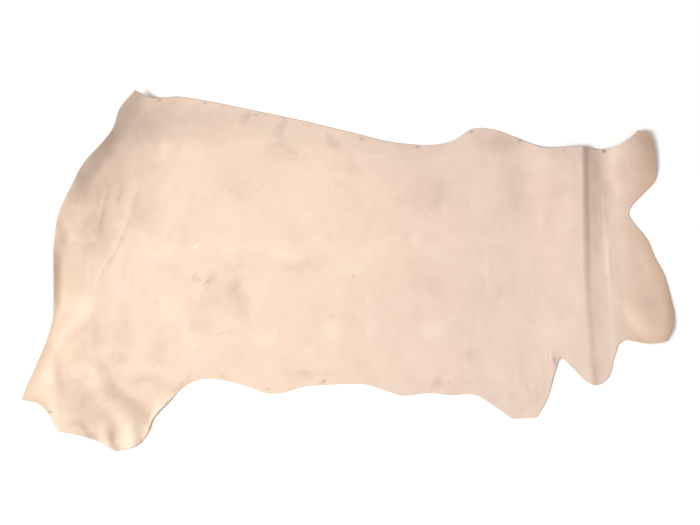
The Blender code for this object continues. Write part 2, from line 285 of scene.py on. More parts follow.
# Bites that the clips of the drying frame have left near the edge: back, rump, shank and belly.
BITES = [
    Patch(-0.666, 0.605, 0.011, 0.007, 10, 0.90),
    Patch(-0.506, 0.596, 0.010, 0.006, -40, 0.70),
    Patch(-0.325, 0.554, 0.009, 0.006, -20, 0.60),
    Patch(-0.140, 0.515, 0.008, 0.005, 0, 0.50),
    Patch(0.051, 0.469, 0.010, 0.007, 20, 0.80),
    Patch(0.250, 0.441, 0.011, 0.007, 35, 0.70),
    Patch(0.441, 0.495, 0.011, 0.007, 0, 0.80),
    Patch(0.612, 0.463, 0.010, 0.008, -20, 0.90),
    Patch(0.765, 0.427, 0.009, 0.006, 0, 0.50),
    Patch(0.911, 0.426, 0.011, 0.008, 10, 1.10),
    Patch(-1.055, -0.106, 0.010, 0.007, 90, 0.50),
    Patch(-1.056, -0.501, 0.010, 0.008, 60, 0.90),
    Patch(-0.786, -0.628, 0.010, 0.006, 20, 0.60),
    Patch(-0.837, -0.636, 0.009, 0.007, 0, 0.70),
    Patch(-0.703, -0.512, 0.009, 0.005, 60, 0.50),
    Patch(-0.641, -0.465, 0.010, 0.006, 45, 0.80),
    Patch(-0.447, -0.376, 0.010, 0.006, -10, 0.50),
    Patch(-0.283, -0.420, 0.010, 0.006, 0, 0.60),
    Patch(-0.085, -0.392, 0.013, 0.008, 45, 0.90),
]
BITE_DEPTH = 0.0011

# Uneven tone of the tanned grain, with painted shade and painted highlight on folds where marked below.
# A strength above zero is darker, and below zero lighter.
TONE_AND_SHADE_PATCHES = [
    # Painted shade on the haunch, where the rump's curl faces away from the lamp.
    Patch(-0.857, 0.408, 0.263, 0.114, 58, 0.45),  # haunch
    Patch(-0.701, 0.295, 0.284, 0.156, 60, 0.16),
    Patch(-0.893, 0.241, 0.178, 0.114, 70, 0.34),
    Patch(-0.715, 0.234, 0.128, 0.092, 70, 0.32),
    Patch(-0.900, 0.110, 0.163, 0.107, 85, 0.26),
    Patch(-0.964, -0.004, 0.128, 0.092, 80, 0.34),
    Patch(-0.879, -0.103, 0.092, 0.057, 90, 0.16),
    Patch(-0.843, -0.323, 0.092, 0.043, 10, 0.16),
    Patch(-0.737, -0.511, 0.071, 0.043, -50, 0.10),
    Patch(-0.879, -0.465, 0.234, 0.163, -25, 0.62),  # hind shank
    # Painted shade on the far flanks of the shank ripples and on its curled hem, in this patch and the
    # next five.
    Patch(-0.715, -0.525, 0.060, 0.028, -55, 0.28),
    Patch(-0.957, -0.561, 0.085, 0.028, -20, 0.50),
    Patch(-0.911, -0.586, 0.053, 0.025, -15, 0.45),
    Patch(-0.840, -0.579, 0.053, 0.014, 80, 0.45),
    Patch(-0.950, -0.462, 0.046, 0.032, 70, 0.30),
    Patch(-0.801, -0.430, 0.121, 0.053, -48, 0.16),
    Patch(-0.882, -0.231, 0.099, 0.028, 92, 0.30),
    Patch(-0.815, -0.298, 0.064, 0.028, 10, 0.28),
    Patch(-0.687, -0.288, 0.064, 0.057, 70, 0.34),
    Patch(-0.815, -0.245, 0.142, 0.092, 80, 0.16),
    Patch(-0.932, -0.277, 0.107, 0.057, 60, 0.30),
    Patch(-0.715, -0.384, 0.149, 0.046, -8, 0.34),
    Patch(-0.588, -0.398, 0.053, 0.021, 38, 0.45),
    # Painted shade along the rump's curled edge, in this patch and the next.
    Patch(-1.014, 0.092, 0.121, 0.046, 86, 0.45),  # rump
    Patch(-1.018, 0.145, 0.075, 0.030, 84, 0.45),
    Patch(-0.914, 0.146, 0.043, 0.025, 85, -0.24),
    Patch(-0.808, 0.199, 0.114, 0.046, 80, 0.22),
    # Painted shade along the rump's curled edge, in this patch and the next two.
    Patch(-0.896, 0.430, 0.206, 0.067, 58, 0.75),
    Patch(-0.832, 0.586, 0.107, 0.043, 66, 0.60),
    Patch(-0.957, 0.280, 0.114, 0.050, 64, 0.40),
    Patch(-0.779, 0.394, 0.249, 0.142, 60, 0.32),
    Patch(-0.893, 0.163, 0.142, 0.085, 75, 0.30),
    # Painted shade over the root of the tail, beside the rump's curl.
    Patch(-0.648, 0.536, 0.249, 0.121, 5, 0.40),  # root of the tail
    Patch(-0.435, 0.536, 0.213, 0.078, -8, 0.30),
    Patch(-0.520, 0.469, 0.142, 0.039, -5, 0.24),
    Patch(-0.378, 0.547, 0.046, 0.028, 100, 0.40),
    Patch(-0.233, 0.508, 0.064, 0.032, 95, 0.32),
    Patch(-0.229, 0.440, 0.057, 0.021, 10, 0.35),
    Patch(-0.041, 0.451, 0.071, 0.025, -62, 0.50),
    Patch(0.009, 0.366, 0.107, 0.032, -5, 0.20),
    Patch(0.186, 0.444, 0.213, 0.064, -8, 0.16),
    Patch(-0.293, 0.376, 0.142, 0.071, 0, 0.12),
    Patch(0.257, 0.270, 0.163, 0.128, 30, 0.26),  # middle of the back
    Patch(0.307, 0.231, 0.064, 0.039, 40, 0.22),
    Patch(0.531, 0.465, 0.142, 0.053, -8, 0.50),  # withers
    Patch(0.584, 0.316, 0.192, 0.078, 92, 0.32),
    Patch(0.761, 0.422, 0.142, 0.053, -3, 0.28),
    Patch(0.712, 0.234, 0.220, 0.199, 0, 0.18),
    Patch(0.772, 0.341, 0.190, 0.085, 92, 0.24),
    # Painted shade on the slope past the crease, which faces away from the lamp.
    Patch(0.900, 0.305, 0.249, 0.046, 92, 0.42),  # neck
    Patch(0.964, 0.355, 0.071, 0.036, 95, 0.36),
    # Painted shade on the same slope.
    Patch(0.890, 0.120, 0.114, 0.032, 92, 0.24),
    Patch(0.861, -0.337, 0.107, 0.028, 94, 0.18),
    # Painted shade on the drooping poll flap, in this patch and the next.
    Patch(1.070, 0.437, 0.114, 0.071, 98, 0.78),
    Patch(1.047, 0.471, 0.060, 0.036, 15, 0.34),
    Patch(1.092, 0.032, 0.085, 0.043, -60, 0.10),
    # Painted shade on the side of the jaw's ridge that faces away from the lamp.
    Patch(1.038, -0.103, 0.107, 0.064, -50, 0.20),
    Patch(-0.481, -0.036, 0.057, 0.028, -60, 0.28),  # about the old scar
    Patch(-0.389, -0.060, 0.078, 0.050, -70, 0.36),
    Patch(-0.389, -0.149, 0.057, 0.036, 90, 0.24),
    Patch(-0.538, -0.224, 0.071, 0.043, 20, 0.10),
    Patch(-0.506, -0.156, 0.121, 0.071, 60, 0.16),
    Patch(-0.446, -0.103, 0.128, 0.092, -60, 0.16),
    Patch(-0.169, 0.011, 0.099, 0.053, 10, 0.22),
    Patch(0.009, -0.167, 0.092, 0.028, 90, 0.12),
    Patch(0.328, -0.067, 0.078, 0.050, 0, 0.22),
    Patch(0.222, 0.032, 0.092, 0.032, 80, 0.08),
    Patch(-0.122, -0.373, 0.135, 0.025, 2, 0.35),  # belly
    Patch(0.307, -0.408, 0.043, 0.028, 60, 0.50),
    Patch(0.435, -0.288, 0.036, 0.021, 110, 0.38),
    Patch(0.186, -0.298, 0.078, 0.043, 70, 0.15),
    Patch(0.648, -0.032, 0.085, 0.142, 0, 0.05),
    Patch(0.034, -0.067, 0.213, 0.213, 0, -0.14),
    Patch(0.257, -0.280, 0.213, 0.156, 0, -0.14),
    Patch(0.754, -0.245, 0.249, 0.156, 0, -0.10),
    Patch(-0.169, 0.146, 0.213, 0.107, 0, -0.08),
    Patch(0.669, -0.430, 0.099, 0.050, 75, 0.30),  # fore shank
    Patch(0.733, -0.305, 0.039, 0.014, 75, 0.50),
    Patch(0.584, -0.451, 0.057, 0.028, -50, 0.20),
    # Painted highlight on the lamp's side of the hock ridges, in this patch and the next three.
    Patch(-0.928, -0.146, 0.114, 0.053, 48, -0.72),  # hock
    Patch(-1.021, -0.238, 0.078, 0.032, 56, -0.48),
    Patch(-1.060, -0.351, 0.089, 0.025, 105, -0.40),
    Patch(-0.889, -0.376, 0.078, 0.032, -38, -0.36),
    Patch(-0.793, -0.483, 0.057, 0.018, -45, -0.10),
    # Painted highlight on the lamp's side of the shank ripples, in this patch and the next two.
    Patch(-0.783, -0.593, 0.039, 0.028, -40, -0.28),
    Patch(-0.669, -0.479, 0.039, 0.032, 50, -0.56),
    Patch(-0.868, -0.557, 0.028, 0.011, 75, -0.15),
    Patch(-1.014, -0.103, 0.107, 0.028, 92, -0.12),
    Patch(-0.666, 0.071, 0.114, 0.050, 20, -0.32),  # thigh
    Patch(-0.534, 0.085, 0.025, 0.014, 100, -1.30),
    Patch(-0.406, 0.071, 0.078, 0.050, -10, -0.40),
    Patch(-0.584, -0.213, 0.185, 0.053, -68, -0.36),
    Patch(-0.623, -0.103, 0.099, 0.057, 80, -0.16),
    Patch(-0.644, 0.430, 0.071, 0.018, 80, -0.28),
    Patch(-0.733, 0.398, 0.043, 0.014, 60, -0.24),
    Patch(-0.559, 0.401, 0.099, 0.053, -40, -0.20),
    Patch(-0.339, 0.089, 0.099, 0.039, -28, -0.36),  # loin
    Patch(-0.261, 0.085, 0.107, 0.043, -30, -0.32),
    Patch(-0.197, 0.046, 0.124, 0.043, 5, -0.36),
    Patch(-0.122, 0.082, 0.124, 0.039, 0, -0.28),
    Patch(-0.126, 0.185, 0.039, 0.039, 0, -0.24),
    Patch(-0.005, 0.018, 0.089, 0.057, 0, -0.20),
    Patch(0.087, 0.075, 0.107, 0.043, 30, -0.20),
    Patch(-0.169, 0.355, 0.089, 0.032, -15, -0.20),
    Patch(0.101, 0.422, 0.089, 0.018, 2, -0.28),
    Patch(-0.318, -0.103, 0.124, 0.050, 85, -0.28),
    Patch(-0.296, -0.234, 0.085, 0.050, 0, -0.36),
    Patch(-0.062, -0.217, 0.050, 0.057, 0, -0.32),
    Patch(0.083, -0.217, 0.053, 0.064, 0, -0.36),
    Patch(-0.048, -0.075, 0.071, 0.025, 90, -0.28),
    Patch(0.073, -0.124, 0.078, 0.018, 90, -0.24),
    Patch(-0.204, -0.280, 0.107, 0.036, 0, -0.15),
    Patch(0.257, 0.110, 0.043, 0.043, 0, -0.36),  # ribs
    Patch(0.321, 0.060, 0.075, 0.053, 0, -0.24),
    Patch(0.307, -0.213, 0.075, 0.039, 0, -0.36),
    Patch(0.399, -0.174, 0.050, 0.032, 0, -0.24),
    Patch(0.488, 0.004, 0.142, 0.028, 90, -0.24),
    Patch(0.524, -0.337, 0.124, 0.043, -58, -0.28),
    Patch(0.151, -0.408, 0.071, 0.050, 0, -0.20),
    Patch(0.364, -0.384, 0.057, 0.036, 0, -0.20),
    Patch(0.201, -0.103, 0.050, 0.085, 0, -0.15),
    Patch(0.683, 0.163, 0.107, 0.032, 90, -0.20),
    Patch(0.730, -0.209, 0.135, 0.050, 0, -0.20),
    Patch(0.786, 0.252, 0.195, 0.028, 90, -0.16),  # neck
    Patch(0.808, -0.103, 0.178, 0.032, 90, -0.16),
    # Painted highlight along the low roll beside the crease.
    Patch(0.935, 0.089, 0.206, 0.014, 91, -0.32),
    # Painted highlight on the side of the jaw's ridge that faces the lamp.
    Patch(1.031, -0.181, 0.089, 0.043, -45, -0.36),
    Patch(0.967, -0.284, 0.057, 0.036, 80, -0.22),
    Patch(1.063, 0.028, 0.057, 0.036, -60, -0.26),
    Patch(1.014, 0.092, 0.050, 0.092, 0, -0.15),
]

# Where the grain is crinkled.
CRINKLES = [
    Patch(-0.577, 0.508, 0.064, 0.043, 20, 0.80),
    Patch(-0.062, 0.288, 0.071, 0.032, 10, 0.80),
    Patch(0.396, -0.401, 0.057, 0.036, 0, 1.20),
    Patch(-0.815, -0.298, 0.078, 0.036, 5, 1.00),
    Patch(0.307, -0.408, 0.050, 0.032, 0, 0.70),
    Patch(-0.382, -0.053, 0.092, 0.064, 0, 0.60),
    Patch(-0.122, -0.366, 0.163, 0.032, 2, 0.80),
    Patch(0.062, -0.103, 0.107, 0.121, 0, 0.50),
    Patch(0.648, -0.430, 0.099, 0.071, 0, 0.50),
    Patch(-0.914, 0.199, 0.121, 0.064, 78, 0.50),
    Patch(-0.293, 0.341, 0.128, 0.057, 0, 0.40),
    Patch(-0.808, -0.458, 0.163, 0.099, -20, 0.50),
    Patch(-0.701, -0.103, 0.142, 0.121, 0, 0.35),
    Patch(0.293, 0.430, 0.213, 0.050, -4, 0.40),
    Patch(0.754, -0.298, 0.050, 0.057, 0, 0.60),
    Patch(-0.204, -0.209, 0.178, 0.092, 0, 0.30),
]

# Scars, scratches, and painted shade with soiling on the crease's flank, as narrow tapering bands of
# darker tone.
TONE_AND_SHADE_BANDS = [
    Fold(0.006, 0.006, SOFT, [(-0.557, -0.050, 0.1), (-0.546, -0.024, 0.6), (-0.536, 0.000, 0.1)]),
    Fold(0.005, 0.005, SOFT, [(-0.543, -0.036, 0.1), (-0.530, -0.030, 0.5), (-0.514, -0.034, 0.1)]),
    Fold(0.006, 0.006, SOFT, [(-0.520, -0.058, 0.1), (-0.504, -0.044, 0.7), (-0.475, -0.014, 0.1)]),
    Fold(0.005, 0.005, SOFT, [(-0.508, -0.080, 0.1), (-0.495, -0.052, 0.5), (-0.490, -0.040, 0.1)]),
    Fold(0.005, 0.005, SOFT, [(-0.470, -0.235, 0.0), (-0.446, -0.220, 0.5), (-0.410, -0.213, 0.5),
                              (-0.380, -0.218, 0.0)]),
    Fold(0.007, 0.007, SOFT, [(-0.229, 0.430, 0.1), (-0.200, 0.424, 0.5), (-0.176, 0.414, 0.1)]),
    Fold(0.005, 0.005, SOFT, [(-0.073, 0.104, 0.0), (-0.064, 0.124, 0.5), (-0.055, 0.142, 0.0)]),
    Fold(0.006, 0.006, SOFT, [(-0.893, -0.075, 0.0), (-0.862, 0.010, 0.35), (-0.836, 0.044, 0.4),
                              (-0.812, 0.092, 0.4), (-0.782, 0.165, 0.2), (-0.760, 0.230, 0.0)]),
    Fold(0.006, 0.006, SOFT, [(-0.885, 0.130, 0.0), (-0.868, 0.200, 0.3), (-0.855, 0.280, 0.0)]),
    Fold(0.006, 0.006, SOFT, [(-0.820, 0.220, 0.0), (-0.806, 0.270, 0.4), (-0.797, 0.330, 0.0)]),
    # Painted shade with some soiling, on the crease's steep flank.
    Fold(0.016, 0.070, SOFT, [(0.880, -0.430, 0.20), (0.852, -0.103, 0.25), (0.842, 0.110, 0.45),
                              (0.838, 0.480, 0.75)]),
    Fold(0.006, 0.006, SOFT, [(0.738, -0.330, 0.8), (0.730, -0.290, 0.0)]),
]

# Where insect bites and thorn pricks have healed: x, y.
PRICKS = [
    (-0.683, -0.114), (-0.623, -0.124), (-0.531, -0.288), (-0.559, -0.330), (-0.304, -0.323),
    (-0.059, -0.163), (0.020, -0.018), (0.364, -0.394), (0.405, -0.380), (0.541, -0.075),
]
PRICK_RADIUS = 0.0065
PRICK_TONE = 0.8

# Soft lumps: height or reach, size of a lump, and the seed or seeds of their random draws.
BROAD_LUMPS = (0.00035, 0.110, 1)
SMALL_LUMPS = (0.00012, 0.035, 2)
BROAD_STIR = (0.022, 0.060, (3, 4))
SMALL_STIR = (0.008, 0.020, (5, 6))
LATTICE = 256  # cells each way in the lattice of random heights

# Scales of the noises in the grain, in features a metre.
BROAD_SCALE = 2.6
CLOUD_SCALE = 6.0
BLOTCH_SCALE = 22.0
STREAK_SCALE = 17.0
STREAK_STRETCH = (1.0, 0.16, 1.0)  # how the streaks are drawn out from belly to back
PORE_SCALE = 900.0
FIBRE_SCALE = 260.0
VEIN_SCALE = 55.0
# And in the cut and the flesh side.
CUT_FIBRE_SCALE = 520.0
BRUSHED_SCALE = 14.0
NAP_SCALE = 380.0

# How much of each tint the grain takes where it is strongest.
PALE_AND_HIGHLIGHT_SHARE = 0.90
DUSKY_AND_SHADE_SHARE = 0.60
ASH_SHARE = 0.22  # a cool cast along the back
TAN_SHARE = 0.35  # on the jaw and poll flaps
STAIN_SHARE = 0.36  # along the cut at both ends
STAIN_REACH = 0.045
# About the hock the grain is partly its own yellow and partly painted warm light.
HONEY_AND_WARM_LIGHT_SHARE = 0.13  # about the hock
WEAR_SHARE = 0.08  # right at the cut
WEAR_REACH = 0.004

FLOOR_REACH = 30.0
LAMP_SIZE = (7.0, 6.0)
LAMP_ENERGY = 2640.0
LAMP_COLOUR = (1.0, 0.985, 0.965)
LAMP_PLACE = (-12.0, -2.8, 9.6)
LAMP_TURN = (0.0, -52.0, 13.0)  # in degrees; it faces the hide
SKY_COLOUR = (1.0, 0.985, 0.97, 1.0)
SKY_STRENGTH = 0.56
CAMERA_PLACE = (0.0089, 0.0302, 5.87)
CAMERA_LENS = 85.0
CAMERA_SENSOR = 36.0
CAMERA_REACH = 100.0


def edge_curve(marks, step):
    """Points along a side: a cubic Hermite curve through the marks, whose slope breaks only at corners.

    Between two marks there is an even number of points, about step apart, and every mark is one of them.
    """
    places = np.array([(mark.x, mark.y) for mark in marks])
    spans = np.diff(places, axis=0)
    lengths = np.linalg.norm(spans, axis=1)
    times = np.sqrt(lengths)[:, None]
    rates = spans / times
    smooth = (rates[:-1] * times[1:] + rates[1:] * times[:-1]) / (times[:-1] + times[1:])
    leaving = np.vstack([rates[:1], smooth])
    arriving = np.vstack([smooth, rates[-1:]])
    corner = np.array([mark.corner for mark in marks])[:, None]
    leaving = np.where(corner[:-1], rates, leaving) * times
    arriving = np.where(corner[1:], rates, arriving) * times
    points = [places[:1]]
    for i, length in enumerate(lengths):
        count = 2 * max(1, round(length / step / 2))
        t = (np.arange(count) + 1)[:, None] / count
        points.append(
            (2 * t**3 - 3 * t**2 + 1) * places[i]
            + (t**3 - 2 * t**2 + t) * leaving[i]
            + (3 * t**2 - 2 * t**3) * places[i + 1]
            + (t**3 - t**2) * arriving[i]
        )
    return np.vstack(points)


def facing_points(edge, marks, axis):
    """The points of the facing side, at the same shares of its reach along axis as the given side's."""
    dense = edge_curve(marks, FINE_STEP)
    share = (edge[:, axis] - edge[0, axis]) / (edge[-1, axis] - edge[0, axis])
    reach = dense[0, axis] + share * (dense[-1, axis] - dense[0, axis])
    other = np.interp(reach, dense[:, axis], dense[:, 1 - axis])
    return np.column_stack([reach, other] if axis == 0 else [other, reach])


def bend(edge, axis):
    """Each point's share of the way along a side, and how far the side stands there off its chord."""
    share = (edge[:, axis] - edge[0, axis]) / (edge[-1, axis] - edge[0, axis])
    across = edge[:, 1 - axis]
    return share, across - across[0] - share * (across[-1] - across[0])


def sheet_places():
    """The grid of places on the floor, as an array of columns by rows.

    It is the straight-sided figure between the four corners, plus the bends of its four sides, each of
    which dies away as a power of the distance from its own side.
    """
    belly = edge_curve(BELLY_EDGE, GRID_STEP)
    back = facing_points(belly, BACK_EDGE, axis=0)
    neck = edge_curve(NECK_EDGE, ROW_STEP)
    rump = facing_points(neck, RUMP_EDGE, axis=1)
    u, belly_bend = bend(belly, 0)
    v, neck_bend = bend(neck, 1)
    back_bend = bend(back, 0)[1]
    rump_bend = bend(rump, 1)[1]
    u = u[:, None]
    x = (1 - v) * belly[:, :1] + v * back[:, :1]
    x = x + (1 - u) ** RUMP_FADE * rump_bend + u**NECK_FADE * neck_bend
    y = (1 - u) * rump[:, 1] + u * neck[:, 1]
    y = y + (1 - v) ** SIDE_FADE * belly_bend[:, None] + v**SIDE_FADE * back_bend[:, None]
    return np.stack([x, y], axis=-1)


def fold_height(fold, places):
    """Height that one fold adds at each place: the crest's height times (1 - s squared) to a power.

    s is the distance to the crest line over the fold's width on that side, and the power is its foot.
    """
    nearest = np.full(places.shape[:-1], np.inf)
    height = np.zeros(places.shape[:-1])
    crests = np.array(fold.crests)
    for start, end in zip(crests, crests[1:]):
        run = (end - start)[:2]
        offset = places - start[:2]
        along = np.clip(offset @ run / (run @ run), 0, 1)
        distance = np.linalg.norm(offset - along[..., None] * run, axis=-1)
        on_left = run[0] * offset[..., 1] - run[1] * offset[..., 0] > 0
        share = np.minimum(distance / np.where(on_left, fold.left, fold.right), 1)
        foot = np.where(on_left, SOFT, fold.right_foot)
        crest = start[2] + along * (end[2] - start[2])
        closer = distance < nearest
        height = np.where(closer, crest * (1 - share**2) ** foot, height)
        nearest = np.minimum(nearest, distance)
    return height


def sheet_lift(places):
    """Height of the flesh side above the floor: the folds' sum, easing off the floor at their feet."""
    total = sum(fold_height(fold, places) for fold in FOLDS)
    return total**2 / (total + LIFT_OFF)


def unevenness(places, size, seed):
    """Soft lumps between -1 and 1: random heights on a square lattice, joined by smoothstep."""
    lattice = np.random.default_rng(seed).uniform(-1, 1, (LATTICE, LATTICE))
    scaled = places / size + LATTICE // 2
    cell = np.floor(scaled).astype(int)
    t = scaled - cell
    t = t * t * (3 - 2 * t)
    i, j = cell[..., 0] % (LATTICE - 1), cell[..., 1] % (LATTICE - 1)
    low = lattice[i, j] + t[..., 0] * (lattice[i + 1, j] - lattice[i, j])
    high = lattice[i, j + 1] + t[..., 0] * (lattice[i + 1, j + 1] - lattice[i, j + 1])
    return low + t[..., 1] * (high - low)


def spots(places, middles, radius):
    """How deep each place lies in a round spot: (1 - r squared) squared, where r is 1 on its rim."""
    depth = np.zeros(places.shape[:-1])
    for middle in middles:
        r = np.minimum(np.linalg.norm(places - middle, axis=-1) / radius, 1)
        depth = np.maximum(depth, (1 - r**2) ** 2)
    return depth


def grain_relief(places):
    """How far the grain side stands above the sheet's even thickness: wrinkles, lumps and bites."""
    relief = sum(fold_height(wrinkle, places) for wrinkle in WRINKLES)
    for height, size, seed in (BROAD_LUMPS, SMALL_LUMPS):
        relief = relief + height * unevenness(places, size, seed)
    return relief - BITE_DEPTH * patch_sum(BITES, places)


def patch_sum(patches, places):
    """Sum of soft ovals: strength times (1 - r squared) squared, where r is 1 on the oval's rim."""
    total = np.zeros(places.shape[:-1])
    for patch in patches:
        turn = np.radians(patch.turn)
        across = np.array([[np.cos(turn), -np.sin(turn)], [np.sin(turn), np.cos(turn)]])
        local = (places - (patch.x, patch.y)) @ across / (patch.length, patch.width)
        r = np.minimum(np.linalg.norm(local, axis=-1), 1)
        total += patch.strength * (1 - r**2) ** 2
    return total


def tone(places):
    """The grain's uneven tone with painted shade and highlight: bands, pricks, and patches stirred by
    soft lumps to leave no rim even.
    """
    stirred = places
    for reach, size, seeds in (BROAD_STIR, SMALL_STIR):
        stirred = stirred + reach * np.stack([unevenness(places, size, seed) for seed in seeds], axis=-1)
    bands = sum(fold_height(band, places) for band in TONE_AND_SHADE_BANDS)
    return patch_sum(TONE_AND_SHADE_PATCHES, stirred) + bands + PRICK_TONE * spots(places, PRICKS, PRICK_RADIUS)


def edge_distance(places, rim):
    """Distance from each place to the nearest point of the cut edge, in slices to save memory."""
    nearest = []
    for part in np.array_split(places, SLICES):
        nearest.append(np.linalg.norm(part[:, None] - rim, axis=-1).min(axis=1))
    return np.concatenate(nearest)


def around(grid):
    """The rim of a grid, anticlockwise from its first corner: belly, neck, back and rump."""
    return np.concatenate([grid[:-1, 0], grid[-1, :-1], grid[:0:-1, -1], grid[0, :0:-1]])


def outward(rim):
    """Unit vectors that point out of an anticlockwise rim, square to it."""
    along = np.roll(rim, -1, axis=0) - np.roll(rim, 1, axis=0)
    along /= np.linalg.norm(along, axis=1)[:, None]
    return np.column_stack([along[:, 1], -along[:, 0]])


def with_rim(grid, rim):
    """A copy of a grid whose rim points are replaced by these."""
    grid = grid.copy()
    columns, rows = grid.shape[0] - 1, grid.shape[1] - 1
    belly, neck, back, rump = np.split(rim, [columns, columns + rows, 2 * columns + rows])
    grid[:-1, 0] = belly
    grid[-1, :-1] = neck
    grid[:0:-1, -1] = back
    grid[0, :0:-1] = rump
    return grid


def quads(index):
    """The four-cornered faces of a grid of vertex numbers, facing up."""
    corners = [index[:-1, :-1], index[1:, :-1], index[1:, 1:], index[:-1, 1:]]
    return np.stack(corners, axis=-1).reshape(-1, 4)


def sheet_mesh():
    """The closed sheet: a fine grain side, a flesh side with half its columns and rows, and the cut.

    The cut is a profile carried round the rim. Its last ring meets the flesh side two edges to one.
    """
    places = sheet_places()
    rim = around(places)
    out = outward(rim)
    grain = with_rim(places, rim - GRAIN_INSET * out)
    flesh = with_rim(places, rim - FLESH_INSET * out)[::2, ::2]
    grain_z = sheet_lift(grain) + THICKNESS + grain_relief(grain)
    flesh_z = sheet_lift(flesh)
    low, high = sheet_lift(rim), around(grain_z)
    rings = [(rim - inset * out, low + share * (high - low)) for inset, share in CUT_PROFILE]

    grain_index = np.arange(grain_z.size).reshape(grain_z.shape)
    flesh_index = grain_z.size + np.arange(flesh_z.size).reshape(flesh_z.shape)
    first = grain_z.size + flesh_z.size
    loops = [around(grain_index)]
    loops += [first + k * len(rim) + np.arange(len(rim)) for k in range(len(rings))]
    cut = []
    for upper, lower in zip(loops, loops[1:]):
        cut.append(np.stack([lower, np.roll(lower, -1), np.roll(upper, -1), upper], axis=-1))
    last, flesh_loop = loops[-1], around(flesh_index)
    along_cut = [np.roll(last, -2)[::2], np.roll(last, -1)[::2], last[::2]]
    stitch = np.stack([flesh_loop, np.roll(flesh_loop, -1), *along_cut], axis=-1)
    faces = [quads(grain_index), *cut, stitch, quads(flesh_index)[:, ::-1]]
    slots = [GRAIN_SLOT] + [CUT_SLOT] * (len(cut) + 1) + [FLESH_SLOT]

    flat = np.concatenate([grain.reshape(-1, 2), flesh.reshape(-1, 2), *[ring for ring, _ in rings]])
    height = np.concatenate([grain_z.ravel(), flesh_z.ravel(), *[z for _, z in rings]])
    mesh = bpy.data.meshes.new("hide_leather")
    points = np.column_stack([flat, height]).tolist()
    mesh.from_pydata(points, [], [face for part in faces for face in part.tolist()])
    mesh.polygons.foreach_set("material_index", np.repeat(slots, [len(part) for part in faces]))
    mesh.shade_smooth()
    for name, values in (
        ("edge", edge_distance(flat, rim)),
        ("bite", patch_sum(BITES, flat)),
        ("tone", tone(flat)),
        ("crinkle", patch_sum(CRINKLES, flat)),
    ):
        mesh.attributes.new(name, "FLOAT", "POINT").data.foreach_set("value", values)
    return mesh


class Wire:
    """One output of a node. Arithmetic on it adds Math nodes, and so returns more wires."""

    def __init__(self, tree, socket):
        self.tree = tree
        self.socket = socket

    @classmethod
    def add(cls, tree, kind, settings=(), inputs=(), output=0):
        """Adds a node of any kind: first its settings, then the values or wires of its sockets."""
        node = tree.nodes.new(kind)
        for name, value in dict(settings).items():
            setattr(node, name, value)
        for name, value in dict(inputs).items():
            if isinstance(value, Wire):
                tree.links.new(value.socket, node.inputs[name])
            else:
                node.inputs[name].default_value = value
        return cls(tree, node.outputs[output])

    def other(self, output):
        """Another output of the same node."""
        return Wire(self.tree, self.socket.node.outputs[output])

    def maths(self, operation, *values):
        """A Math node on these values or wires."""
        return Wire.add(self.tree, "ShaderNodeMath", {"operation": operation}, enumerate(values))

    def __add__(self, other):
        return self.maths("ADD", self, other)

    def __sub__(self, other):
        return self.maths("SUBTRACT", self, other)

    def __rsub__(self, other):
        return self.maths("SUBTRACT", other, self)

    def __mul__(self, other):
        return self.maths("MULTIPLY", self, other)

    def __pow__(self, other):
        return self.maths("POWER", self, other)

    __radd__ = __add__
    __rmul__ = __mul__

    def clamp(self):
        """Held between 0 and 1."""
        return Wire.add(self.tree, "ShaderNodeClamp", inputs={"Value": self})

    def ramp(self, low, high, start=0.0, end=1.0):
        """Runs smoothly from start to end as this goes from low to high."""
        return Wire.add(
            self.tree,
            "ShaderNodeMapRange",
            {"interpolation_type": "SMOOTHSTEP"},
            {"Value": self, "From Min": low, "From Max": high, "To Min": start, "To Max": end},
        )


def srgb(red, green, blue):
    """A colour given as it looks on a screen, from 0 to 255, in the linear values that a shader takes."""
    shares = np.array([red, green, blue]) / 255
    linear = np.where(shares <= 0.04045, shares / 12.92, ((shares + 0.055) / 1.055) ** 2.4)
    return (*linear.tolist(), 1.0)


def new_material(name, **constants):
    """A material whose shader has these constants, and a way to add nodes to it."""
    material = bpy.data.materials.new(name)
    material.use_nodes = True
    shader = material.node_tree.nodes["Principled BSDF"]
    for socket, value in constants.items():
        shader.inputs[socket.replace("_", " ")].default_value = value
    return material, partial(Wire.add, material.node_tree)


def cover(material, colour, roughness, normal):
    """Feeds a material's shader with the wires that vary over the surface."""
    tree = material.node_tree
    shader = tree.nodes["Principled BSDF"]
    for socket, wire in (("Base Color", colour), ("Roughness", roughness), ("Normal", normal)):
        tree.links.new(wire.socket, shader.inputs[socket])
    return material


def mix(add, low, high, share):
    """The colour that lies that share of the way from low to high."""
    return add("ShaderNodeMix", {"data_type": "RGBA"}, {0: share, 6: low, 7: high}, output=2)


def attribute(add, name):
    """One of the sheet's own values."""
    return add("ShaderNodeAttribute", {"attribute_name": name}, output="Fac")


def noise(add, place, scale, detail, roughness=0.5, distortion=0.0):
    """Cloudy noise from 0 to 1, mostly near its middle."""
    look = {"Scale": scale, "Detail": detail, "Roughness": roughness, "Distortion": distortion}
    return add("ShaderNodeTexNoise", inputs={"Vector": place, **look})


def bump(add, height, strength, distance):
    """The way the surface faces where that height roughens it."""
    relief = {"Height": height, "Strength": strength, "Distance": distance}
    return add("ShaderNodeBump", inputs=relief, output="Normal")


BLUSH = srgb(222, 198, 182)
CREAM = srgb(230, 205, 184)
PALE_AND_HIGHLIGHT = srgb(240, 222, 206)
DUSKY_AND_SHADE = srgb(164, 140, 126)
TAN = srgb(184, 153, 129)
OCHRE = srgb(188, 150, 112)
ASH = srgb(172, 162, 158)
BROWN = srgb(128, 98, 78)
RAW_EDGE = srgb(196, 160, 130)
SUEDE = srgb(216, 190, 162)
FLOOR = (0.95, 0.95, 0.95, 1.0)


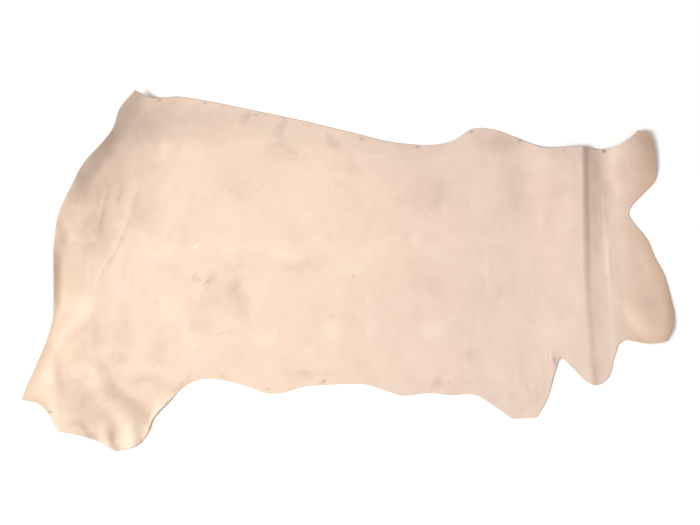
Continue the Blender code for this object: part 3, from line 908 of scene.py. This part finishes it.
def grain_side():
    """Undyed grain: cream over the hindquarter, blush over the middle, tan towards the neck's edges."""
    material, add = new_material("grain_side", Specular_IOR_Level=0.30)
    place = add("ShaderNodeTexCoord", output="Object")
    split = add("ShaderNodeSeparateXYZ", inputs={"Vector": place})
    x, y = split, split.other("Y")
    broad = noise(add, place, BROAD_SCALE, detail=3.0)
    cloudy = noise(add, place, CLOUD_SCALE, detail=3.0, roughness=0.55)
    blotchy = noise(add, place, BLOTCH_SCALE, detail=4.0, roughness=0.55)
    drawn = add("ShaderNodeVectorMath", {"operation": "MULTIPLY"}, {0: place, 1: STREAK_STRETCH})
    streaky = (noise(add, drawn, STREAK_SCALE, detail=3.0) - 0.5) * x.ramp(0.10, 0.60)
    edge = attribute(add, "edge")
    bite = attribute(add, "bite")
    shade = attribute(add, "tone")
    crinkle = attribute(add, "crinkle")

    # Cream runs into blush from the haunch to the ribs, with a cool cast along the back.
    colour = mix(add, CREAM, BLUSH, (x + (broad - 0.5) * 0.6).ramp(-0.30, 0.50))
    ashen = (y + (broad - 0.5) * 0.4).ramp(0.28, 0.55) * ASH_SHARE
    colour = mix(add, colour, ASH, ashen)
    # Pale and dusky patches, painted highlight and shade among them, clouds and blotches, with streaks
    # towards the neck.
    mottle = (cloudy - 0.5) * x.ramp(-0.5, 0.5, 1.0, 0.55) + (blotchy - 0.5) * 0.55 + streaky * 0.5
    colour = mix(add, colour, PALE_AND_HIGHLIGHT, (0.0 - shade - mottle).clamp() * PALE_AND_HIGHLIGHT_SHARE)
    colour = mix(add, colour, DUSKY_AND_SHADE, (shade + mottle).clamp() * DUSKY_AND_SHADE_SHARE)
    # Tan on the neck's flaps, ochre along the cut at both ends and about the hock, brown in the bites.
    tanned = (x + (broad - 0.5) * 0.1).ramp(0.93, 1.04) * TAN_SHARE
    colour = mix(add, colour, TAN, tanned)
    both_ends = x.ramp(0.98, 1.08) + x.ramp(-1.06, -0.97, 1.0, 0.0)
    stained = edge.ramp(0.0, STAIN_REACH, STAIN_SHARE, 0.0) * both_ends
    # About the hock, ochre that is partly the grain's own yellow and partly painted warm light on the
    # hock ridge's lit flank.
    about_hock = y.ramp(-0.38, -0.30) * y.ramp(-0.03, 0.08, 1.0, 0.0)
    honey_and_warm_light = x.ramp(-1.00, -0.84, HONEY_AND_WARM_LIGHT_SHARE, 0.0) * about_hock
    colour = mix(add, colour, OCHRE, stained + honey_and_warm_light)
    worn = edge.ramp(0.0, WEAR_REACH, WEAR_SHARE, 0.0) + bite * (blotchy + 0.3)
    colour = mix(add, colour, BROWN, worn.clamp())

    # Pores, fibres, and fine veins where the grain is crinkled.
    dots = {"Vector": place, "Scale": PORE_SCALE, "Randomness": 1.0}
    pores = add("ShaderNodeTexVoronoi", inputs=dots, output="Distance")
    fibre = noise(add, place, FIBRE_SCALE, detail=5.0, roughness=0.65)
    veins = (noise(add, place, VEIN_SCALE, detail=3.0, distortion=0.4) - 0.5) ** 2 * -60.0 + 1.0
    relief = pores * 0.35 + fibre * 0.65 + veins.clamp() * (crinkle + 0.2) * 3.0
    roughness = 0.50 + cloudy * 0.16 + worn * 0.12
    return cover(material, colour, roughness, bump(add, relief, strength=0.35, distance=0.0004))


def cut_edge():
    """The raw cut: packed fibres, browner than the grain."""
    material, add = new_material("cut_edge", Specular_IOR_Level=0.25)
    place = add("ShaderNodeTexCoord", output="Object")
    fibre = noise(add, place, CUT_FIBRE_SCALE, detail=4.0, roughness=0.7)
    colour = mix(add, RAW_EDGE, SUEDE, fibre)
    return cover(material, colour, 0.75 + fibre * 0.15, bump(add, fibre, strength=0.6, distance=0.0004))


def flesh_side():
    """The flesh side: a short suede nap with cloudy brushing."""
    material, add = new_material("flesh_side", Specular_IOR_Level=0.2, Sheen_Weight=0.25)
    place = add("ShaderNodeTexCoord", output="Object")
    brushed = noise(add, place, BRUSHED_SCALE, detail=4.0, roughness=0.6, distortion=0.6)
    nap = noise(add, place, NAP_SCALE, detail=6.0, roughness=0.75)
    colour = mix(add, RAW_EDGE, SUEDE, (brushed * 0.7 + nap * 0.5).clamp())
    return cover(material, colour, 0.80 + nap * 0.15, bump(add, nap, strength=0.7, distance=0.0008))


def add_object(name, data):
    """An object at the origin that shows this data."""
    obj = bpy.data.objects.new(name, data)
    bpy.context.scene.collection.objects.link(obj)
    return obj


def build_hide():
    """The hide in its three materials, on the one body."""
    mesh = sheet_mesh()
    for material in (grain_side(), cut_edge(), flesh_side()):  # in the order of their slots
        mesh.materials.append(material)
    hide = add_object("hide_leather", mesh)
    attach(hide, "root")
    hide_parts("hide")


def build_floor():
    """A plain pale floor that the hide lies on."""
    mesh = bpy.data.meshes.new("floor")
    corners = [(x * FLOOR_REACH, y * FLOOR_REACH, 0) for x, y in ((-1, -1), (1, -1), (1, 1), (-1, 1))]
    mesh.from_pydata(corners, [], [(0, 1, 2, 3)])
    mesh.materials.append(new_material("pale_floor", Base_Color=FLOOR, Roughness=0.9)[0])
    add_object("floor", mesh)


def build_light():
    """One large soft lamp low on the rump's side, and an even pale sky."""
    lamp = bpy.data.lights.new("window", "AREA")
    lamp.shape = "RECTANGLE"
    lamp.size, lamp.size_y = LAMP_SIZE
    lamp.energy = LAMP_ENERGY
    lamp.color = LAMP_COLOUR
    window = add_object("window", lamp)
    window.location = LAMP_PLACE
    window.rotation_euler = np.radians(LAMP_TURN)
    world = bpy.data.worlds.new("sky")
    world.use_nodes = True
    background = world.node_tree.nodes["Background"]
    background.inputs["Color"].default_value = SKY_COLOUR
    background.inputs["Strength"].default_value = SKY_STRENGTH
    bpy.context.scene.world = world


def build_camera():
    """Straight above the hide, with a long lens."""
    data = bpy.data.cameras.new("camera")
    data.lens = CAMERA_LENS
    data.sensor_width = CAMERA_SENSOR
    data.clip_end = CAMERA_REACH
    camera = add_object("camera", data)
    camera.location = CAMERA_PLACE
    bpy.context.scene.camera = camera


build_hide()
build_floor()
build_light()
build_camera()
bpy.context.scene.view_settings.view_transform = "Standard"
